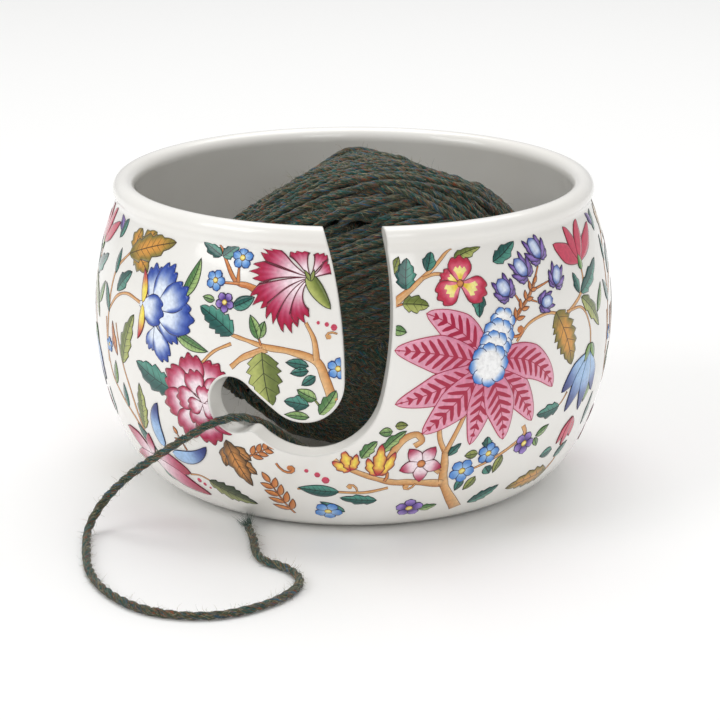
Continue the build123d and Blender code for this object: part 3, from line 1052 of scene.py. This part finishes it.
def drawLeft(art):
    # the stretch to the left of the slot: degrees round from the middle, height in mm
    drawStretch(art, leftStems, leftLeaves)
    lobedLeaf(art, [((-58.6, 81), (-57.8, 87.6), 8.4, -30, 3), ((-55.4, 82), (-51.6, 88.4), 8.6, -20, 3),
                    ((-58.4, 81), (-51.4, 76.4), 9.6, -20, 3), ((-60.4, 79.4), (-44, 86.6), 9.4, -10, 4)],
              "autumn")
    lobedLeaf(art, [((-28.2, 29.4), (-30, 22), 5.2, 16, 2), ((-27.6, 29), (-23, 25.4), 5.0, -16, 2),
                    ((-26.6, 25), (-22.2, 20.8), 4.6, -16, 2), ((-28.6, 31.4), (-24, 16.4), 7.0, 12, 4)],
              "dry")
    sprig(art, (-23.6, 26.8), (-18.4, 30.6), 3, 3.6, 1.9)
    sprig(art, (-15, 7.4), (-19.4, 18.6), 4, 5.4, 2.2)
    sprig(art, (-40.6, 24.6), (-42.4, 29.4), 1, 3.6, 1.6)
    scroll(art, (-17.2, 25.6), -60, 5.0, 1)
    scroll(art, (-3.2, 66.4), 160, 3.0, 1, "tan", 0.9)
    dots(art, [(-7.2, 69.4, 1.0), (-5.4, 69, 1.3), (-3.9, 68.2, 1.9), (-10.4, 23.8, 1.3), (-8, 22.6, 1.8),
               (-6.2, 20.8, 2.4), (-40, 14.4, 1.6), (-38.6, 13.4, 1.2), (-37.2, 12.5, 0.8)])
    smallFlower(art, (-25.1, 85.6), 7.0, "sky")
    smallFlower(art, (-31, 78.6), 6.6, "sky", 70)
    smallFlower(art, (-28.1, 72.9), 6.4, "purple", 54)
    smallFlower(art, (-3, 56.4), 6.8, "sky", 80)
    smallFlower(art, (-6.2, 9.2), 8.6, "sky", 60)
    smallFlower(art, (-66.4, 50), 5.0, "sky")
    blueFlower(art)
    carnation(art)
    peony(art, (-34.2, 42.6))
    addBlade(art, (-48.4, 23.4), (-47.2, 38.2), 4.8, "navy", shape="bud", bend=-62, shade="end")
    addBlade(art, (-46, 22.4), (-34.4, 27.6), 4.8, "navy", shape="bud", bend=74, shade="end")
    petals(art, (-55.4, 18), [(-65.4, 24.4, 6.6, 10), (-54, 26, 4.4, -10), (-66, 15, 5.0, -10),
                              (-42, 16.4, 8.0, -8), (-38.4, 9.6, 7.0, 14)], "crimson", "pointed", "tip")


def drawRight(art):
    # and to the right of it
    drawStretch(art, rightStems, rightLeaves)
    leaf(art, (48.4, 65.6), (53.9, 48), 12.5, "autumn", -22, 7, "rim")
    leaf(art, (55.8, 12.6), (41, 11), 9.0, "autumn", 12, 5, "rim")
    sprig(art, (35.6, 65), (42.6, 75.4), 4, 3.4, 1.5)
    scroll(art, (14.4, 19), -120, 3.4, -1, "tan", 1.0)
    scroll(art, (7, 20.4), 60, 3.6, 1, "bark", 1.3)
    scroll(art, (1, 16.8), 100, 3.4, 1, "tan", 0.9)
    scroll(art, (35, 62), -20, 4.2, 1, "bark", 1.3)
    smallFlower(art, (31.4, 26.2), 7.8, "sky", 80)
    smallFlower(art, (25.3, 21.6), 8.6, "sky", 60)
    smallFlower(art, (41.4, 26.8), 8.0, "purple", 64)
    smallFlower(art, (13.9, 9.8), 8.6, "purple", 90)
    starFlower(art)
    pansy(art, (23.6, 78.8))
    for middle, heading, length, width in [((45, 85), 112, 7.6, 4.2), ((39.6, 80.6), 124, 6.8, 4.2),
                                           ((34, 76), 118, 6.2, 4.6), ((50.4, 76), 66, 6.2, 4.0),
                                           ((46, 69.4), 8, 5.4, 3.9)]:
        blueBud(art, middle, heading, length, width)
    art.lift = printLayers["flower"]
    petals(art, (60.8, 77.2), [(51.6, 84.4, 6.4, -10), (71.4, 86, 5.0, 10), (57.6, 88.6, 4.6, 6),
                               (65, 89.6, 4.8, -6)], "red", "pointed", "even")
    addBlade(art, (60.9, 74.6), (60.6, 79.4), 2.8, "green", shape="bud")
    petals(art, (62, 49), [(51.2, 40, 6.4, 16), (66.6, 35.4, 6.0, -12), (54, 33, 6.6, 8),
                           (60.6, 31.2, 6.6, 0)], "navy", "pointed", "end")
    petals(art, (62.4, 52), [(59.6, 46.6, 3.0, 10), (64.8, 46.6, 3.0, -10)], "green", "leaf", "half")
    petals(art, (59, 29.6), [(54.8, 22, 3.8, 10), (60.4, 22.6, 3.6, -10), (57.4, 20.6, 3.8, 0)],
           "red", "pointed", "even")
    tulip(art, (5.4, 22.4), [(3.2, 28.6, 4.2, -30), (9.2, 30.4, 4.2, 26), (6.2, 33.2, 5.0, 0)])
    tulip(art, (-0.4, 24.4), [(-4.6, 27.4, 4.4, -20), (-2.2, 31.4, 4.6, -6), (0.8, 30, 3.6, 16)])
    rosette(art, (15.1, 25.8), 5, 54, 6.8, 4.6, "crimson", "pointed", "end")
    disc(art, (15.1, 25.8), 2.8, "bark")


def slotOutline():
    # the slot's edge on its plane, from the mouth's left corner round to the right one
    plan = slotShape
    tongueX, tongueZ, tongueRadius = plan["tongue"]
    eyeX, eyeZ, eyeRadius = plan["eye"]
    left, right, top = plan["mouth"]
    points = []

    def sweep(middle, radius, first, last):
        steps = max(3, round(abs(last - first) * radius / 60))
        for i in range(steps + 1):
            angle = math.radians(first + (last - first) * i / steps)
            points.append((middle[0] + radius * math.cos(angle), middle[1] + radius * math.sin(angle)))

    def mouthArc(start, heading, end):
        # the arc that leaves start with a heading and passes through end
        ahead = Vector((math.cos(math.radians(heading)), math.sin(math.radians(heading))))
        side = Vector((-ahead.y, ahead.x))
        chord = Vector(end) - Vector(start)
        radius = chord.length_squared / (2 * chord.dot(side))
        middle = Vector(start) + side * radius
        first = math.degrees(math.atan2(start[1] - middle.y, start[0] - middle.x))
        last = math.degrees(math.atan2(end[1] - middle.y, end[0] - middle.x))
        if last - first > 180:
            last -= 360
        if first - last > 180:
            last += 360
        return middle, abs(radius), first, last

    middle, radius, first, last = mouthArc((tongueX + tongueRadius, tongueZ), 90, (left, top))
    sweep(middle, radius, last, first)
    tipEnd = 270 - plan["shoulder"]
    sweep((tongueX, tongueZ), tongueRadius, 0, tipEnd - 360)
    tip = Vector(points[-1])
    lean = math.radians(180 - plan["shoulder"])
    slope = Vector((math.cos(lean), math.sin(lean)))
    toEye = Vector((eyeX, eyeZ)) - tip
    along = toEye.dot(slope)
    aside = toEye.length_squared - along**2
    reach = along - math.sqrt(eyeRadius**2 - aside)
    shoulder = tip + slope * reach
    gap = math.hypot(tongueX - eyeX, tongueZ - eyeZ)
    share = (gap**2 + eyeRadius**2 - plan["turn"] ** 2) / (2 * gap)
    toTongue = math.degrees(math.atan2(tongueZ - eyeZ, tongueX - eyeX))
    cut = toTongue - math.degrees(math.acos(share / eyeRadius))
    first = math.degrees(math.atan2(shoulder.y - eyeZ, shoulder.x - eyeX))
    sweep((eyeX, eyeZ), eyeRadius, first, cut + 360)
    last = math.degrees(math.atan2(points[-1][1] - tongueZ, points[-1][0] - tongueX))
    sweep((tongueX, tongueZ), plan["turn"], last - 360 if last > 0 else last, -plan["turnOut"])
    middle, radius, first, last = mouthArc(points[-1], 90 - plan["turnOut"], (right, top))
    sweep(middle, radius, first, last)
    return [Vector(p) for p in points]


def onSlotPlane(place):
    # a point of the bowl, seen on the slot's plane
    plan = slotShape
    grow = plan["plane"] / max(-place.y / mm, 0.001)
    return Vector((place.x / mm * grow, plan["aim"] + (place.z / mm - plan["aim"]) * grow))


def climbSeen(turn, height):
    # the climb at which the bowl's side stands at that height on the slot's plane
    low, high = 5.0, 100.0
    for halving in range(24):
        climb = (low + high) / 2
        radius, level, angle = sidePoint(climb)
        seen = slotShape["aim"] + (level - slotShape["aim"]) * slotShape["plane"] / (radius * math.cos(turn))
        low, high = (climb, high) if seen < height else (low, climb)
    return climb


def slotGap(outline, point):
    # distance to the slot's edge, below zero inside the slot, and the nearest point of the edge
    best, nearest = 1e9, None
    inside = False
    for a, b in zip(outline, outline[1:] + outline[:1]):
        run = b - a
        share = max(0, min(1, (point - a).dot(run) / max(run.length_squared, 1e-9)))
        spot = a + run * share
        gap = (point - spot).length
        if gap < best:
            best, nearest = gap, spot
        if (a.y > point.y) != (b.y > point.y) and point.x < a.x + (point.y - a.y) * run.x / run.y:
            inside = not inside
    return (-best if inside else best), nearest


def trimAtSlot(mesh):
    # cuts the print off beside the slot, as the decorator trims the transfer
    outline = slotOutline()
    margin = slotShape["margin"]
    gaps = {}
    for vert in mesh.verts:
        turn = math.degrees(math.atan2(vert.co.x, -vert.co.y))
        if slotShape["left"] < turn < slotShape["right"] and vert.co.z > slotShape["bottom"] * mm:
            point = onSlotPlane(vert.co)
            gap, nearest = slotGap(outline, point)
            if gap < margin:
                gaps[vert] = (gap, nearest, point)
    gone = [f for f in mesh.faces if all(v in gaps for v in f.verts)]
    bmesh.ops.delete(mesh, geom=gone, context="FACES")
    for vert, (gap, nearest, point) in gaps.items():
        if vert.is_valid and vert.link_faces:
            away = (point - nearest).normalized() * (1 if gap > 0 else -1)
            target = nearest + away * margin
            turn = math.atan(target.x / slotShape["plane"])
            vert.co = onSide(turn, climbSeen(turn, target.y), printLayers["flower"])


def sinkPrint(mesh):
    # gives the sheet its thickness: a second skin under the glaze, joined to the first all round
    outer = list(mesh.faces)
    grown = bmesh.ops.extrude_face_region(mesh, geom=outer, use_keep_orig=True)
    for vert in grown["geom"]:
        if isinstance(vert, bmesh.types.BMVert):
            rise = (vert.co.z - printLayers["middle"] * mm) * 0.8
            vert.co -= Vector((vert.co.x, vert.co.y, rise)).normalized() * printLayers["depth"] * mm
    bmesh.ops.recalc_face_normals(mesh, faces=mesh.faces)


def maths(material, operation, *values):
    return addNode(material, "Math", dict(enumerate(values)), operation=operation).outputs[0]


def ranged(material, value, low, high, newLow=0, newHigh=1):
    return addNode(material, "MapRange", {"Value": value, "From Min": low, "From Max": high,
                                          "To Min": newLow, "To Max": newHigh}).outputs[0]


def printMaterial():
    # ceramic transfer print under a clear glaze: flat stippled inks with drawn lines, as glossy as the glaze
    material, shader = newMaterial("underglaze_transfer_print")
    place = addNode(material, "Attribute", attribute_name="printPlace")
    veins = addNode(material, "Attribute", attribute_name="printVeins")
    ink = addNode(material, "Attribute", attribute_name="printInk")
    line = addNode(material, "Attribute", attribute_name="printLine")
    # a blade's place is its length, its width and the distance to its edge; its veins' are their
    # spacing, slant and width
    length, width, edge = addNode(material, "SeparateXYZ", {"Vector": place.outputs["Vector"]}).outputs
    spacing, slant, thick = addNode(material, "SeparateXYZ", {"Vector": veins.outputs["Vector"]}).outputs
    across = maths(material, "ABSOLUTE", width)
    level = maths(material, "SUBTRACT", length, maths(material, "MULTIPLY", across, slant))
    apart = maths(material, "MAXIMUM", spacing, 0.01)
    phase = maths(material, "FRACT", maths(material, "DIVIDE", level, apart))
    offset = maths(material, "ABSOLUTE", maths(material, "SUBTRACT", phase, 0.5))
    distance = maths(material, "MULTIPLY", offset, apart)
    tapered = maths(material, "MULTIPLY", ranged(material, edge, 0.6, 2.6, 0.2, 1.0), thick)
    stripe = ranged(material, maths(material, "SUBTRACT", distance, tapered), 0.09, -0.04)
    deep = maths(material, "SUBTRACT", edge, maths(material, "MULTIPLY", thick, 1.05))
    stripes = maths(material, "MULTIPLY", stripe, ranged(material, deep, 0.2, 0.42))
    ribs = maths(material, "MAXIMUM", ranged(material, across, 0.2, 0.1), stripes)
    marks = maths(material, "MULTIPLY", ribs, maths(material, "GREATER_THAN", spacing, 0.1))
    drawn = maths(material, "MAXIMUM", marks, ranged(material, edge, 0.32, 0.2))
    position = addNode(material, "TexCoord")
    stipple = addNode(material, "TexNoise", {"Vector": position.outputs["Object"], "Scale": 900.0,
                                             "Detail": 3.0})
    wash = ranged(material, stipple.outputs["Fac"], 0.3, 0.7, 0.86, 1.12)
    toned = addNode(material, "VectorMath", {0: ink.outputs["Color"], "Scale": wash}, operation="SCALE")
    colour = addNode(material, "Mix", {"Factor": drawn, "A": toned.outputs[0], "B": line.outputs["Color"]},
                     data_type="RGBA")
    join(material, colour.outputs[2], shader.inputs["Base Color"])
    shader.inputs["Roughness"].default_value = 0.5
    shader.inputs["Specular IOR Level"].default_value = 0.1
    shader.inputs["Coat Weight"].default_value = 1.0
    shader.inputs["Coat Roughness"].default_value = 0.1
    shader.inputs["Coat IOR"].default_value = 1.45
    return material


def makePrint():
    material = printMaterial()
    # the two stretches of the pattern, each with the degrees that it is turned round from the front
    sheets = [
        ("printFrontLeft", drawLeft, 0), ("printFrontRight", drawRight, 0),
        ("printRight", drawLeft, 143), ("printBack", drawRight, 144), ("printLeft", drawRight, -142),
    ]
    for name, draw, middle in sheets:
        art = Art()
        art.middle = middle
        draw(art)
        trimAtSlot(art.mesh)
        sinkPrint(art.mesh)
        loose = [v for v in art.mesh.verts if not v.link_faces]
        bmesh.ops.delete(art.mesh, geom=loose, context="VERTS")
        mesh = bpy.data.meshes.new(name)
        art.mesh.to_mesh(mesh)
        print(name, len(mesh.polygons) * 2, "triangles")
        art.mesh.free()
        mesh.shade_smooth()
        addPiece(name, mesh, "bowl", material)


studio = {
    "cameraPlace": (0.002, -0.843, 0.282),
    "cameraPitch": 16.29,
    "lens": 140.2,
    "sensor": 36.0,
    "worldStrength": 0.54,
    "lampsAim": (0, 0, 0.05),
    "lamps": [      # name, place, size and power
        ("softboxTop", (0.1, 0.5, 1.5), 1.3, 13), ("softboxLeft", (-1.2, -0.6, 0.9), 0.8, 6),
        ("softboxFront", (0.5, -1.6, 1.0), 0.7, 4),
    ],
}


def makeStudio(plan):
    scene = bpy.context.scene
    scene.view_settings.view_transform = "Standard"
    camera = bpy.data.cameras.new("camera")
    camera.lens = plan["lens"]
    camera.sensor_width = plan["sensor"]
    camera.clip_start = 0.05
    holder = bpy.data.objects.new("camera", camera)
    holder.location = plan["cameraPlace"]
    holder.rotation_euler = (math.radians(90 - plan["cameraPitch"]), 0, 0)
    scene.collection.objects.link(holder)
    scene.camera = holder

    floor = bmesh.new()
    bmesh.ops.create_grid(floor, x_segments=1, y_segments=1, size=6)
    mesh = bpy.data.meshes.new("floor")
    floor.to_mesh(mesh)
    floor.free()
    material, shader = newMaterial("pale_paper_floor")
    shader.inputs["Base Color"].default_value = linear("#fbfbfa")
    shader.inputs["Roughness"].default_value = 0.55
    mesh.materials.append(material)
    ground = bpy.data.objects.new("floor", mesh)
    scene.collection.objects.link(ground)

    world = bpy.data.worlds.new("studioWorld")
    world.use_nodes = True
    world.node_tree.nodes["Background"].inputs["Color"].default_value = linear("#ffffff")
    world.node_tree.nodes["Background"].inputs["Strength"].default_value = plan["worldStrength"]
    scene.world = world

    for name, place, size, power in plan["lamps"]:
        light = bpy.data.lights.new(name, "AREA")
        light.shape = "SQUARE"
        light.size = size
        light.energy = power
        lamp = bpy.data.objects.new(name, light)
        lamp.location = place
        aim = Vector(plan["lampsAim"]) - Vector(place)
        lamp.rotation_euler = aim.to_track_quat("-Z", "Y").to_euler()
        scene.collection.objects.link(lamp)


makeStudio(studio)
print("studio ready")
wool = woolMaterial()
fibre = fibreMaterial()
profile = plyProfile()
makeWorkingYarn(workingYarn, profile, wool, fibre)
print("working yarn laid")
makeBall(ballPlan, profile, wool, fibre)
print("ball wound")
makeBowl()
makePrint()
print("print laid")
bpy.data.objects.remove(profile)
